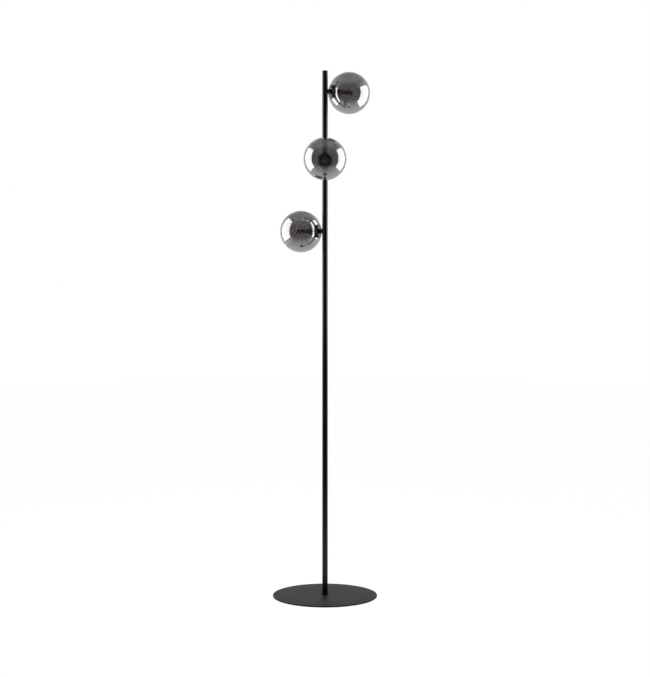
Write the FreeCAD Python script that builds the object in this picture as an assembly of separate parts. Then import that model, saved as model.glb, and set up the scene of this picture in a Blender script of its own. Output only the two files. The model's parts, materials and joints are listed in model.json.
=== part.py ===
import FreeCAD, Part
import math
import os

# Globe floor lamp: a round steel base, a straight stem in three sections, and three smoked glass globes,
# each on a short fixed arm. Millimetres. The origin is on the floor, under the middle of the base, +Z is
# up, and the front of the lamp looks along -Y.

# Clearances that the fits share
thread_clearance = 0.05  # radial play of a screw thread, drawn as plain walls
press_clearance = 0.02  # radial play drawn at a pressed, bonded or brazed seat
running_clearance = 0.08  # radial play of a thread that is undone in use

# Base
base_diameter = 300.0
base_thickness = 4.0
base_edge_radius = 0.8
pad_radius = 9.0
pad_thickness = 1.0
pad_inset = 18.0  # from the edge of the base to the middle of a pad
pad_count = 6

# Stem
stem_radius = 8.0
stem_wall = 1.5
section_length = 500.0
coupler_length = 56.0
coupler_chamfer = 0.8
cap_thickness = 1.5
cap_spigot_length = 10.0
cap_edge_radius = 0.4

# Foot: the screw comes up through the base into a plug in the stem
foot_screw_radius = 4.0
foot_screw_head_land = 0.2  # of the base's thickness, left above the countersunk head
foot_screw_length = 20.0
foot_screw_hole_play = 0.1
foot_socket_flats = 5.0
foot_socket_depth = 2.4
foot_plug_length = 22.0

# Cable outlet, at the back of the foot, and the cable inside the stem
cable_radius = 3.0
cable_play = 0.25
outlet_height = 34.0  # above the top of the base
outlet_bore_radius = 3.3
grommet_sleeve_radius = 4.4
grommet_flange_radius = 5.8
grommet_flange_thickness = 1.4
grommet_depth = 1.0  # how far the sleeve passes the inner wall of the stem
cable_start_above_outlet = 6.0
cable_end_above_arm = 8.0

# Arms, all on the upper section of the stem, with the middle one halfway between the other two
top_arm_below_end = 58.0  # from the top of the stem to the arm's axis
low_arm_above_joint = 45.0  # from the joint under the upper section to the arm's axis
top_arm_direction = 30.0  # round the stem, in degrees from +X
middle_arm_direction = -90.0
low_arm_direction = 150.0
arm_radius = 7.0
arm_length = 17.5  # from the stem's axis to the back of the dish
lead_hole_radius = 3.6  # hole in the stem's wall behind each arm

# Threaded nipple, lock washer and nut that clamp the dish and hub on the arm
nipple_radius = 5.0
nipple_bore_radius = 3.8
nipple_set_back = 1.5  # from the stem's outside to the nipple's inner end
nipple_past_nut = 0.8
washer_rim = 1.0  # how far the washer stands out past the nut's flats
washer_thickness = 0.8
nut_flats = 14.0
nut_thickness = 3.6

# Saucer dish
dish_overhang = 1.4  # how far the rim stands out past the globe's neck
dish_flat_radius = 7.5
dish_thickness = 1.0
dish_rise = 5.0

# Hub with the globe's thread, moulded, with a pocket for the nut and one for the lampholder
hub_wall = 2.7  # round the lampholder's pocket
hub_web = 3.5  # from the dish to the floor where the lock washer seats
hub_flange_depth = 3.0  # from the dish to the seal
hub_flange_margin = 0.2  # how far the flange stands out past the seal
hub_length = 15.0  # from the dish to the open end
nut_pocket_play = 0.6  # round the nut's corners

# Lampholder for a two-pin capsule bulb, and the ring that holds it in the hub
holder_seat_gap = 1.2  # from the nipple's end to the ledge that carries the lampholder
holder_length = 16.6
holder_body_radius = 9.0
holder_flange_width = 1.2  # how far the flange stands out past the body
holder_flange_thickness = 2.4
holder_edge = 0.6
holder_ring_thickness = 2.2
holder_pocket_play = 0.1

# Pins, contacts and leads
pin_pitch = 9.0
pin_loop_width = 4.0
pin_wire = 0.8
pin_length = 11.0
contact_thickness = 0.35
contact_gap = 0.1  # between a pin and each leaf of its contact
contact_overhang = 0.2  # how far a contact stands out past each side of its pin
contact_play = 0.15  # round a contact in its slot
contact_floor_play = 0.3
lead_radius = 0.9
lead_spacing = 2.8
lead_depth = 2.6  # how far a lead goes into the lampholder
lead_play = 0.1

# Globe, the threaded ring bonded in its neck and the seal behind the ring
globe_radius = 60.0
globe_wall = 1.8
neck_wall = 2.0
ring_wall = 3.9
ring_length = 7.5
seal_thickness = 1.0
seal_width = 3.0
seal_play = 0.4  # round the hub

# Bulb
bulb_base_radius = 8.2
bulb_base_length = 9.0
bulb_base_edge = 0.8
bulb_cover_wall = 0.8
bulb_cover_length = 42.0
bulb_core_play = 0.8  # between the corners of the core and the cover
bulb_core_end_gap = 0.6  # from the core's end to the start of the cover's dome
chip_rows = 5
chip_width = 3.2
chip_length = 4.4
chip_height = 0.6

# Sizes and heights that follow
base_radius = base_diameter / 2
base_top = pad_thickness + base_thickness
foot_screw_head_height = base_thickness - foot_screw_head_land
foot_screw_head_radius = foot_screw_radius + foot_screw_head_height  # its cone is square at the point
outlet_z = base_top + outlet_height
stem_inner_radius = stem_radius - stem_wall
stem_fit_radius = stem_inner_radius - press_clearance
lower_joint_z = base_top + section_length
upper_joint_z = lower_joint_z + section_length
stem_top = upper_joint_z + section_length
top_arm_z = stem_top - top_arm_below_end
low_arm_z = upper_joint_z + low_arm_above_joint
middle_arm_z = (top_arm_z + low_arm_z) / 2
arms = (
    ("top", top_arm_z, top_arm_direction),
    ("middle", middle_arm_z, middle_arm_direction),
    ("low", low_arm_z, low_arm_direction),
)

# Radii round an arm's axis, from the lampholder outwards
nut_pocket_radius = nut_flats / math.sqrt(3) + nut_pocket_play
washer_radius = nut_flats / 2 + washer_rim
holder_flange_radius = holder_body_radius + holder_flange_width
holder_pocket_radius = holder_flange_radius + holder_pocket_play
hub_radius = holder_pocket_radius + hub_wall
seal_inner_radius = hub_radius + seal_play
seal_outer_radius = seal_inner_radius + seal_width
hub_flange_radius = seal_outer_radius + hub_flange_margin
ring_inner_radius = hub_radius + running_clearance
ring_outer_radius = ring_inner_radius + ring_wall
neck_bore_radius = ring_outer_radius + press_clearance
neck_radius = neck_bore_radius + neck_wall
dish_radius = neck_radius + dish_overhang
contact_width = pin_loop_width + 2 * contact_overhang
bulb_cover_radius = bulb_base_radius - bulb_base_edge
bulb_core_radius = bulb_cover_radius - bulb_cover_wall - bulb_core_play

# Places along an arm, from the stem's axis outwards
nipple_start = stem_radius + nipple_set_back
dish_front = arm_length + dish_thickness
hub_flange_front = dish_front + hub_flange_depth
hub_floor = dish_front + hub_web
hub_front = dish_front + hub_length
washer_front = hub_floor + washer_thickness
nut_front = washer_front + nut_thickness
nipple_end = nut_front + nipple_past_nut
holder_seat = nipple_end + holder_seat_gap
holder_ring_back = holder_seat + holder_flange_thickness
holder_front = holder_seat + holder_length
lead_end = holder_seat + lead_depth
slot_floor = holder_front - pin_length - contact_thickness - contact_floor_play - contact_gap
ring_back = hub_flange_front + seal_thickness
neck_end = ring_back + ring_length
globe_centre = ring_back + math.sqrt(globe_radius ** 2 - neck_bore_radius ** 2)
bulb_base_front = holder_front + bulb_base_length
bulb_tip = bulb_base_front + bulb_cover_length
bulb_dome = bulb_tip - bulb_cover_radius
bulb_core_front = bulb_dome - bulb_core_end_gap

X = FreeCAD.Vector(1, 0, 0)
Y = FreeCAD.Vector(0, 1, 0)
Z = FreeCAD.Vector(0, 0, 1)
ORIGIN = FreeCAD.Vector(0, 0, 0)


# Shapes. The pieces of an arm are drawn with the arm's axis along +X, through the origin on the stem's axis.
def upright(radius, low, high, x=0.0, y=0.0):
    return Part.makeCylinder(radius, high - low, FreeCAD.Vector(x, y, low), Z)


def along(radius, back, front, y=0.0, z=0.0):
    return Part.makeCylinder(radius, front - back, FreeCAD.Vector(back, y, z), X)


def sleeve(bore, radius, back, front):
    return along(radius, back, front).cut(along(bore, back - 1, front + 1))


def block(x, y, z):
    """A box between two values on each axis."""
    corner = FreeCAD.Vector(x[0], y[0], z[0])
    return Part.makeBox(x[1] - x[0], y[1] - y[0], z[1] - z[0], corner)


def turned(start, *steps):
    """A solid turned about +X from a closed outline of (place along the axis, radius) points.

    A step is the next point, or a point that an arc passes and the point where it ends.
    """
    def at(point):
        return FreeCAD.Vector(point[0], point[1], 0)

    edges = []
    here = start
    for step in steps + (start,):
        if isinstance(step[0], tuple):
            edges.append(Part.Arc(at(here), at(step[0]), at(step[1])).toShape())
            here = step[1]
        else:
            edges.append(Part.LineSegment(at(here), at(step)).toShape())
            here = step
    return Part.Face(Part.Wire(edges)).revolve(ORIGIN, X, 360)


def edges_at(shape, place, axis=Z):
    """The round edges of a shape that lie flat in the plane at one place on an axis."""
    flat = []
    for edge in shape.Edges:
        box = edge.BoundBox
        low = FreeCAD.Vector(box.XMin, box.YMin, box.ZMin).dot(axis)
        high = FreeCAD.Vector(box.XMax, box.YMax, box.ZMax).dot(axis)
        if abs(low - place) < 1e-6 and abs(high - place) < 1e-6:
            flat.append(edge)
    return flat


def hexagon(flats, back, front, axis=X):
    """A hexagonal prism along an axis, with one size across its flats."""
    corner_radius = flats / math.sqrt(3)
    across = Y if axis.isEqual(X, 1e-9) else X
    turn = FreeCAD.Rotation(axis, 60)
    points = [axis * back + across * corner_radius]
    for _ in range(6):
        points.append(turn.multVec(points[-1]))
    return Part.Face(Part.makePolygon(points)).extrude(axis * (front - back))


def on_arm(shape, height, direction):
    """Moves a piece that is drawn along +X to its arm."""
    placed = shape.copy()
    placed.rotate(ORIGIN, Z, direction)
    placed.translate(Z * height)
    return placed


# Base and foot
def base_plate():
    plate = upright(base_radius, pad_thickness, base_top)
    rims = edges_at(plate, base_top) + edges_at(plate, pad_thickness)
    plate = plate.makeFillet(base_edge_radius, rims)
    hole_radius = foot_screw_radius + foot_screw_hole_play
    hole = upright(hole_radius, 0, base_top + 1)
    sink_radius = foot_screw_head_radius + foot_screw_hole_play
    sink_depth = sink_radius - hole_radius
    sink = Part.makeCone(sink_radius, hole_radius, sink_depth, FreeCAD.Vector(0, 0, pad_thickness), Z)
    return plate.cut(hole).cut(sink)


def base_pads():
    pads = []
    circle = base_radius - pad_inset
    for i in range(pad_count):
        angle = 2 * math.pi * i / pad_count
        pads.append(upright(pad_radius, 0, pad_thickness, circle * math.cos(angle), circle * math.sin(angle)))
    return Part.makeCompound(pads)


def foot_screw():
    foot = FreeCAD.Vector(0, 0, pad_thickness)
    head = Part.makeCone(foot_screw_head_radius, foot_screw_radius, foot_screw_head_height, foot, Z)
    shank = upright(foot_screw_radius, pad_thickness, pad_thickness + foot_screw_length)
    socket = hexagon(foot_socket_flats, 0, pad_thickness + foot_socket_depth, Z)
    return head.fuse(shank).cut(socket).removeSplitter()


def foot_plug():
    plug = upright(stem_fit_radius, base_top, base_top + foot_plug_length)
    thread_top = pad_thickness + foot_screw_length + 1
    return plug.cut(upright(foot_screw_radius + thread_clearance, 0, thread_top))


# Stem
def stem_tube(low, high):
    return upright(stem_radius, low, high).cut(upright(stem_inner_radius, low - 1, high + 1))


def stem_lower():
    tube = stem_tube(base_top, lower_joint_z)
    outlet = Part.makeCylinder(
        grommet_sleeve_radius + press_clearance, 2 * stem_radius, FreeCAD.Vector(0, 0, outlet_z), Y
    )
    return tube.cut(outlet)


def stem_middle():
    return stem_tube(lower_joint_z, upper_joint_z)


def stem_upper():
    tube = stem_tube(upper_joint_z, stem_top - cap_thickness)
    tube.rotate(ORIGIN, Z, 90)  # puts the seam of its round faces at the back, between two arms
    for _, height, direction in arms:
        tube = tube.cut(on_arm(along(lead_hole_radius, 0, 2 * stem_radius), height, direction))
    return tube


def stem_coupler(joint_z):
    low = joint_z - coupler_length / 2
    high = joint_z + coupler_length / 2
    stud = upright(stem_fit_radius, low, high)
    stud = stud.makeChamfer(coupler_chamfer, edges_at(stud, low) + edges_at(stud, high))
    return stud.cut(upright(cable_radius + cable_play, low - 1, high + 1))


def stem_cap():
    disc = upright(stem_radius, stem_top - cap_thickness, stem_top)
    disc = disc.makeFillet(cap_edge_radius, edges_at(disc, stem_top))
    spigot = upright(stem_fit_radius, stem_top - cap_thickness - cap_spigot_length, stem_top - cap_thickness)
    return disc.fuse(spigot).removeSplitter()


# Cable outlet and cable
def cable_grommet():
    """A flanged bush in the back of the stem, hollowed to sit on the round tube."""
    inner_end = stem_inner_radius - grommet_depth
    flange_end = stem_radius + grommet_flange_thickness
    foot = FreeCAD.Vector(0, inner_end, outlet_z)
    bush = Part.makeCylinder(grommet_sleeve_radius, flange_end - inner_end, foot, Y)
    flange = Part.makeCylinder(grommet_flange_radius, flange_end, FreeCAD.Vector(0, 0, outlet_z), Y)
    flange = flange.cut(upright(stem_radius + press_clearance, 0, outlet_z + 2 * stem_radius))
    bore = Part.makeCylinder(outlet_bore_radius, 2 * stem_radius, FreeCAD.Vector(0, 0, outlet_z), Y)
    return bush.fuse(flange).removeSplitter().cut(bore)


def stem_cable():
    return upright(cable_radius, outlet_z + cable_start_above_outlet, top_arm_z + cable_end_above_arm)


# Arm and what clamps to it
def arm():
    tube = sleeve(nipple_radius + thread_clearance, arm_radius, 0, arm_length)
    return tube.cut(upright(stem_radius + press_clearance, -2 * arm_radius, 2 * arm_radius))


def arm_nipple():
    return sleeve(nipple_bore_radius, nipple_radius, nipple_start, nipple_end)


def lock_washer():
    return sleeve(nipple_radius + thread_clearance, washer_radius, hub_floor, washer_front)


def arm_nut():
    bore = along(nipple_radius + thread_clearance, 0, 2 * nut_front)
    return hexagon(nut_flats, washer_front, nut_front).cut(bore)


def dish_arc(inset, radius):
    """A point at a radius on the dish's curve, set in from its back by an inset."""
    across = dish_radius - dish_flat_radius
    bend = (across ** 2 + dish_rise ** 2) / (2 * dish_rise)
    reach = radius - dish_flat_radius
    return (arm_length + bend - math.sqrt((bend - inset) ** 2 - reach ** 2), radius)


def dish():
    """A saucer: flat in the middle, where it is clamped, then curved up to a rim round the globe's mouth."""
    rim_back = dish_arc(0, dish_radius)
    rim_inner_radius = dish_radius - dish_thickness
    middle_radius = (dish_flat_radius + dish_radius) / 2
    hole = nipple_radius + thread_clearance
    return turned(
        (arm_length, hole),
        (arm_length, dish_flat_radius),
        (dish_arc(0, middle_radius), rim_back),
        dish_arc(dish_thickness, rim_inner_radius),
        (dish_arc(dish_thickness, middle_radius), (dish_front, dish_flat_radius)),
        (dish_front, hole),
    )


def hub():
    """The moulded hub, seated in the dish, with a flange for the seal and a barrel for the globe's ring."""
    seat = dish_thickness + press_clearance
    flange_back = dish_arc(seat, hub_flange_radius)
    middle_radius = (dish_flat_radius + hub_flange_radius) / 2
    hole = nipple_radius + thread_clearance
    back = dish_front + press_clearance
    return turned(
        (back, hole),
        (back, dish_flat_radius),
        (dish_arc(seat, middle_radius), flange_back),
        (hub_flange_front, hub_flange_radius),
        (hub_flange_front, hub_radius),
        (hub_front, hub_radius),
        (hub_front, holder_pocket_radius),
        (holder_seat, holder_pocket_radius),
        (holder_seat, nut_pocket_radius),
        (hub_floor, nut_pocket_radius),
        (hub_floor, hole),
    )


def holder_ring():
    inner = holder_body_radius + holder_pocket_play
    return sleeve(inner, holder_flange_radius, holder_ring_back, holder_ring_back + holder_ring_thickness)


# Lampholder, contacts, leads and bulb
def lampholder():
    """The ceramic body: a flange in the hub, a slot for each pin and a hole at the back for each lead."""
    body = turned(
        (holder_seat, 0),
        (holder_seat, holder_flange_radius),
        (holder_ring_back, holder_flange_radius),
        (holder_ring_back, holder_body_radius),
        (holder_front - holder_edge, holder_body_radius),
        (holder_front, holder_body_radius - holder_edge),
        (holder_front, 0),
    )
    half_width = contact_width / 2 + contact_play
    half_height = pin_wire / 2 + contact_gap + contact_thickness + contact_play
    for side in (-1, 1):
        middle = side * pin_pitch / 2
        body = body.cut(
            block(
                (slot_floor, holder_front + 1),
                (middle - half_width, middle + half_width),
                (-half_height, half_height),
            )
        )
        body = body.cut(along(lead_radius + lead_play, 0, lead_end, 0, side * lead_spacing / 2))
    return body


def contacts():
    """A folded spring in each slot: a web at the bottom and a leaf on each side of the pin."""
    leaf_inner = pin_wire / 2 + contact_gap
    leaf_outer = leaf_inner + contact_thickness
    web_front = slot_floor + contact_thickness
    springs = []
    for side in (-1, 1):
        middle = side * pin_pitch / 2
        width = (middle - contact_width / 2, middle + contact_width / 2)
        fold = block((slot_floor, holder_front - contact_floor_play), width, (-leaf_outer, leaf_outer))
        gap = block((web_front, holder_front + 1), (width[0] - 1, width[1] + 1), (-leaf_inner, leaf_inner))
        springs.append(fold.cut(gap))
    return Part.makeCompound(springs)


def leads():
    """A pair of insulated leads from the stem's cable, through the nipple, into the lampholder."""
    pair = []
    for side in (-1, 1):
        lead = along(lead_radius, 0, lead_end, 0, side * lead_spacing / 2)
        pair.append(lead.cut(upright(cable_radius + press_clearance, -nut_flats, nut_flats)))
    return Part.makeCompound(pair)


def pin_loop(width, length):
    """A flat face with one half round end, as wide as a pin's loop, from the bulb's base to its tip."""
    half = width / 2
    base = holder_front
    tip = holder_front - length
    corner_a = FreeCAD.Vector(base, -half, 0)
    corner_b = FreeCAD.Vector(tip + half, -half, 0)
    corner_c = FreeCAD.Vector(tip + half, half, 0)
    corner_d = FreeCAD.Vector(base, half, 0)
    edges = [
        Part.LineSegment(corner_a, corner_b).toShape(),
        Part.Arc(corner_b, FreeCAD.Vector(tip, 0, 0), corner_c).toShape(),
        Part.LineSegment(corner_c, corner_d).toShape(),
        Part.LineSegment(corner_d, corner_a).toShape(),
    ]
    return Part.Face(Part.Wire(edges))


def bulb_pins():
    """Two wire loops, side by side."""
    outer = pin_loop(pin_loop_width, pin_length)
    inner = pin_loop(pin_loop_width - 2 * pin_wire, pin_length - pin_wire)
    loop = outer.cut(inner).extrude(Z * pin_wire)
    loops = []
    for side in (-1, 1):
        pin = loop.copy()
        pin.translate(Y * (side * pin_pitch / 2) - Z * (pin_wire / 2))
        loops.append(pin)
    return Part.makeCompound(loops)


def bulb_base():
    back = holder_front
    front = bulb_base_front
    return turned(
        (back, 0),
        (back, bulb_base_radius - bulb_base_edge),
        (back + bulb_base_edge, bulb_base_radius),
        (front - bulb_base_edge, bulb_base_radius),
        (front, bulb_base_radius - bulb_base_edge),
        (front, 0),
    )


def bulb_core():
    """A six-sided pillar with rows of lamp chips on its flats."""
    sides = 6
    flats = bulb_core_radius * math.sqrt(3)
    pillar = hexagon(flats, bulb_base_front, bulb_core_front)
    row_pitch = (bulb_core_front - bulb_base_front) / chip_rows
    chips = []
    for row in range(chip_rows):
        middle = bulb_base_front + (row + 0.5) * row_pitch
        chip = block(
            (middle - chip_length / 2, middle + chip_length / 2),
            (-chip_width / 2, chip_width / 2),
            (0, flats / 2 + chip_height),
        )
        for side in range(sides):
            placed = chip.copy()
            placed.rotate(ORIGIN, X, 360 * side / sides)
            chips.append(placed)
    return pillar.multiFuse(chips).removeSplitter()


def bulb_cover():
    """A clear shell with a domed end."""
    inner = bulb_cover_radius - bulb_cover_wall
    slant = math.sqrt(0.5)
    return turned(
        (bulb_base_front, inner),
        (bulb_base_front, bulb_cover_radius),
        (bulb_dome, bulb_cover_radius),
        ((bulb_dome + bulb_cover_radius * slant, bulb_cover_radius * slant), (bulb_tip, 0)),
        (bulb_tip - bulb_cover_wall, 0),
        ((bulb_dome + inner * slant, inner * slant), (bulb_dome, inner)),
    )


# Globe
def globe_seal():
    return sleeve(seal_inner_radius, seal_outer_radius, hub_flange_front, ring_back)


def globe_ring():
    """The threaded ring bonded in the globe's neck."""
    return sleeve(ring_inner_radius, ring_outer_radius, ring_back, neck_end)


def on_sphere(radius, distance):
    """Where a sphere round the globe's centre meets a distance from the arm's axis, on the stem's side."""
    return globe_centre - math.sqrt(radius ** 2 - distance ** 2)


def globe():
    """Blown glass with a short neck turned inwards at its mouth."""
    inner = globe_radius - globe_wall
    return turned(
        (neck_end, neck_bore_radius),
        (on_sphere(globe_radius, neck_bore_radius), neck_bore_radius),
        ((globe_centre, globe_radius), (globe_centre + globe_radius, 0)),
        (globe_centre + inner, 0),
        ((globe_centre, inner), (on_sphere(inner, neck_radius), neck_radius)),
        (neck_end, neck_radius),
    )


# The whole lamp
def save(name, shape):
    shape.exportStep("parts/" + name + ".step")


def save_on_every_arm(name, shape):
    """One node that holds a like piece on each arm."""
    save(name, Part.makeCompound([on_arm(shape, height, direction) for _, height, direction in arms]))


os.makedirs("parts", exist_ok=True)

save("base_plate", base_plate())
save("base_pads", base_pads())
save("foot_screw", foot_screw())
save("foot_plug", foot_plug())
save("stem_lower", stem_lower())
save("stem_middle", stem_middle())
save("stem_upper", stem_upper())
save("stem_coupler_lower", stem_coupler(lower_joint_z))
save("stem_coupler_upper", stem_coupler(upper_joint_z))
save("stem_cap", stem_cap())
save("cable_grommet", cable_grommet())
save("stem_cable", stem_cable())

save_on_every_arm("arm_nipples", arm_nipple())
save_on_every_arm("arm_lock_washers", lock_washer())
save_on_every_arm("arm_nuts", arm_nut())
save_on_every_arm("holder_rings", holder_ring())

arm_pieces = (
    ("arm", arm()),
    ("dish", dish()),
    ("hub", hub()),
    ("lampholder", lampholder()),
    ("contacts", contacts()),
    ("leads", leads()),
    ("globe_seal", globe_seal()),
    ("globe_ring", globe_ring()),
    ("globe", globe()),
    ("bulb_base", bulb_base()),
    ("bulb_pins", bulb_pins()),
    ("bulb_core", bulb_core()),
    ("bulb_cover", bulb_cover()),
)
for arm_name, arm_height, arm_direction in arms:
    for piece, drawn in arm_pieces:
        save(piece + "_" + arm_name, on_arm(drawn, arm_height, arm_direction))
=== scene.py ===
"""Globe floor lamp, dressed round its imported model.

The frame's bodies and joints give every place: each arm's direction and the middle of its globe are
read from the joint that the globe turns on. Lengths are metres. Pieces on an arm are drawn with the
arm's axis along +X from the middle of the stem, and then turned to their arm.
"""

import json
import math

import bmesh
import bpy
from mathutils import Matrix, Vector


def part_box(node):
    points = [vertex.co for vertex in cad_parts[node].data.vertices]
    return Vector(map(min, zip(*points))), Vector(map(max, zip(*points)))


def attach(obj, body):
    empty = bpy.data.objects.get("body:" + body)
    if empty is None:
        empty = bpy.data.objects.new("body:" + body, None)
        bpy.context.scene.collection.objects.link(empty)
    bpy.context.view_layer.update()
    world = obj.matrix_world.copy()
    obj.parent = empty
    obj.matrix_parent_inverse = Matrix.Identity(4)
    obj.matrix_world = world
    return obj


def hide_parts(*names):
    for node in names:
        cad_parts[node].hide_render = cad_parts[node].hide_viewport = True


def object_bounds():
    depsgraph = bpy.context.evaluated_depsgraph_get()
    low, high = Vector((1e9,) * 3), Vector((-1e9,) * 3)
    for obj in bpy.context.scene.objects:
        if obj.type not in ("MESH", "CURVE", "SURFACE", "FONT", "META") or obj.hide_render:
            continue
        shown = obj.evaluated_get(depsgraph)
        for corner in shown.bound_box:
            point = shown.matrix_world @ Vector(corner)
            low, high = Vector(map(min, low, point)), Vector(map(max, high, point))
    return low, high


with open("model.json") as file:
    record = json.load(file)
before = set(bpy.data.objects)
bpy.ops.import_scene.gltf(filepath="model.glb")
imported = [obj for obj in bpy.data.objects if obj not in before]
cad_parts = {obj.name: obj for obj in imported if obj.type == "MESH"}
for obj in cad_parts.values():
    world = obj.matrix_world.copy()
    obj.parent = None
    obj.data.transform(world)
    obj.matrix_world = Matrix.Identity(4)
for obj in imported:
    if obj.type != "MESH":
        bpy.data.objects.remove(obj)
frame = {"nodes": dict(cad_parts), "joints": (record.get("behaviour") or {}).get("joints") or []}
CAD_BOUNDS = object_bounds()

bl_info = {
    "name": "Globe Floor Lamp",
    "version": (1, 0, 0),
    "blender": (4, 5, 0),
    "location": "View3D > Sidebar > Lamp",
    "description": "Builds a floor lamp with smoked glass globes and its studio",
    "category": "Add Mesh",
}

MM = 0.001
JOINTS = {joint["name"]: joint for joint in frame["joints"]}
ARM_NAMES = [name.split("_")[1] for name in JOINTS if name.endswith("_unscrew")]


def joint_of(arm):
    return JOINTS[f"globe_{arm}_unscrew"]


def arm_place(arm):
    """The matrix that takes a piece drawn along +X to its arm."""
    across, along, _ = joint_of(arm)["axis"]
    height = joint_of(arm)["pos_m"][2]
    turn = Matrix.Rotation(math.atan2(along, across), 4, "Z")
    return Matrix.Translation((0, 0, height)) @ turn


def span(part):
    """Back, front and radius of a node on the middle arm, which points along -Y."""
    low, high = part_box(f"{part}_middle")
    return -high.y, -low.y, (high.z - low.z) / 2


def half_width(node):
    """How far a node reaches along +X."""
    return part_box(node)[1].x


# ---------------------------------------------------------------------------- settings
def length(name, description, default):
    return bpy.props.FloatProperty(
        name=name, description=description, default=default, min=0.0, precision=4, unit="LENGTH"
    )


def tally(name, description, default):
    return bpy.props.IntProperty(name=name, description=description, default=default, min=1)


def tone(name, description, default):
    return bpy.props.StringProperty(name=name, description=description, default=default)


WITHIN = 0.05 * MM  # how far the round base stays inside its solid's box
GLOBE_MIDDLE = Vector(joint_of(ARM_NAMES[0])["pos_m"][:2]).length


class LampSizes(bpy.types.PropertyGroup):
    base_radius: length(
        "Base radius", "Radius of the round base", half_width("base_plate") - WITHIN)
    base_edge: length("Base edge", "Rounding of the base's rims", 0.8 * MM)
    base_hole: length("Base hole", "Radius of the screw's hole through the base", 4.1 * MM)
    base_sink: length("Base countersink", "Radius of that hole at the underside", 7.9 * MM)
    pad_count: tally("Pads", "Number of foam pads under the base", 6)
    pad_radius: length("Pad radius", "Radius of a foam pad", 9 * MM)
    pad_circle: length("Pad circle", "Radius of the circle that the pads lie on", 132 * MM)
    stem_radius: length("Stem radius", "Outer radius of the stem tube", half_width("stem_lower"))
    stem_wall: length("Stem wall", "Wall of the stem tube", 1.5 * MM)
    arm_radius: length("Arm radius", "Radius of an arm", half_width("arm_middle"))
    arm_length: length(
        "Arm length", "From the stem's middle to the back of a dish", span("arm")[1])
    arm_bore: length("Arm bore", "Radius of the hole through an arm, dish and hub", 5.05 * MM)
    dish_radius: length("Dish radius", "Radius of a dish's rim", half_width("dish_middle"))
    dish_rise: length("Dish rise", "How far a dish's rim stands before its back", 5.0 * MM)
    dish_wall: length("Dish wall", "Thickness of a dish", 1.0 * MM)
    dish_flat: length("Dish flat", "Radius of the flat middle of a dish", 7.5 * MM)
    hub_radius: length("Hub radius", "Radius of a hub over its thread", 13 * MM)
    hub_floor: length("Hub floor", "From the stem's middle to where the washer seats", 22.0 * MM)
    nut_pocket: length("Nut pocket", "Radius of a hub's pocket for the nut", 8.68 * MM)
    thread_depth: length("Thread depth", "Depth of the globes' thread", 0.7 * MM)
    thread_pitch: length("Thread pitch", "Travel of a globe for each turn", 3 * MM)
    globe_centre: length("Globe place", "From the stem's middle to a globe's", GLOBE_MIDDLE)
    globe_radius: length("Globe radius", "Outer radius of a globe", 60 * MM)
    globe_wall: length("Globe wall", "Wall of a globe", 1.8 * MM)
    neck_bore: length("Neck bore", "Radius of the hole in a globe's neck", 17 * MM)
    neck_wall: length("Neck wall", "Wall of a globe's neck", 2 * MM)
    neck_end: length("Neck end", "From the stem's middle to the inner end of a neck", 30 * MM)
    pin_length: length("Pin length", "How far a bulb's wire pins reach", 11 * MM)
    pin_width: length("Pin width", "Width of the loop that makes a pin", 4 * MM)
    pin_offset: length("Pin place", "From a bulb's middle to the middle of a pin", 4.5 * MM)
    pin_wire: length("Pin wire", "Thickness of the pins' wire", 0.8 * MM)
    chip_rows: tally("Chip rows", "Rows of chips along a bulb's pillar", 5)
    chip_length: length("Chip length", "Length of a chip along the pillar", 4.4 * MM)
    chip_width: length("Chip width", "Width of a chip across the pillar's face", 3.2 * MM)
    chip_height: length("Chip height", "Thickness of a chip", 0.6 * MM)


class LampColours(bpy.types.PropertyGroup):
    coat: tone("Satin coat", "Powder coat of the stem, arms and dishes", "0d0c0e")
    # painted light: the same black powder coat as the stem's, painted lighter to stand in for light
    # from above and a grazing sheen on the base's top
    base_coat: tone("Base coat", "Powder coat of the base", "1f1b20")
    glass: tone("Metal film", "Tint of the metal film on the globes", "d1ced0")
    smoke: tone("Smoke", "What the globes' glass lets through", "6a6566")
    hub: tone("Hub moulding", "Moulded hubs", "1a1a1b")
    ceramic: tone("Ceramic", "Lampholders", "d9d3c6")
    base_moulding: tone("Bulb base", "Moulded bases of the bulbs", "cfc3ae")
    board: tone("Lamp board", "Pillar that carries a bulb's chips", "cdb98a")
    phosphor: tone("Phosphor", "Phosphor over the chips", "f0b445")
    cover: tone("Bulb cover", "Clear covers of the bulbs", "cfcabb")
    anodised: tone("Anodising", "Rings in the globes' necks", "2a2a2c")
    zinc: tone("Zinc", "Zinc-plated screws, couplers and washers", "b4b5b2")
    brass: tone("Brass", "Nipples and nuts", "c3a35c")
    nickel: tone("Nickel", "Spring contacts, holder rings and pins", "c2bdb2")
    silicone: tone("Silicone", "Seals behind the globes' rings", "2b2a2a")
    rubber: tone("Rubber", "Cable grommet", "161616")
    foam: tone("Foam", "Pads under the base", "1c1c1c")
    sheath: tone("Cable sheath", "Sheath of the cable in the stem", "1b1b1b")
    # painted shade: the darker tone stands for the shade in the gaps between the sleeve's threads
    sleeve_gap_shade: tone("Sleeve, dark", "Between the threads of the leads' sleeves", "9c968a")
    sleeve_light: tone("Sleeve, light", "Threads of the leads' sleeves", "e2ddd0")
    floor: tone("Floor", "Studio floor", "fbfbfa")


def sizes():
    return bpy.context.scene.lamp_sizes


def colours():
    return bpy.context.scene.lamp_colours


# ---------------------------------------------------------------------------- materials
def channels_of(hex_text):
    return [int(hex_text[i:i + 2], 16) for i in (0, 2, 4)]


def linear(hex_text):
    """An sRGB hex value as a linear colour with alpha."""
    shares = [channel / 255 for channel in channels_of(hex_text)]
    return [c / 12.92 if c <= 0.04045 else ((c + 0.055) / 1.055) ** 2.4 for c in shares] + [1.0]


def scaled(hex_text, share):
    """A hex value made darker, or lighter, by a share."""
    return "".join(f"{min(255, round(c * share)):02x}" for c in channels_of(hex_text))


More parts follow.
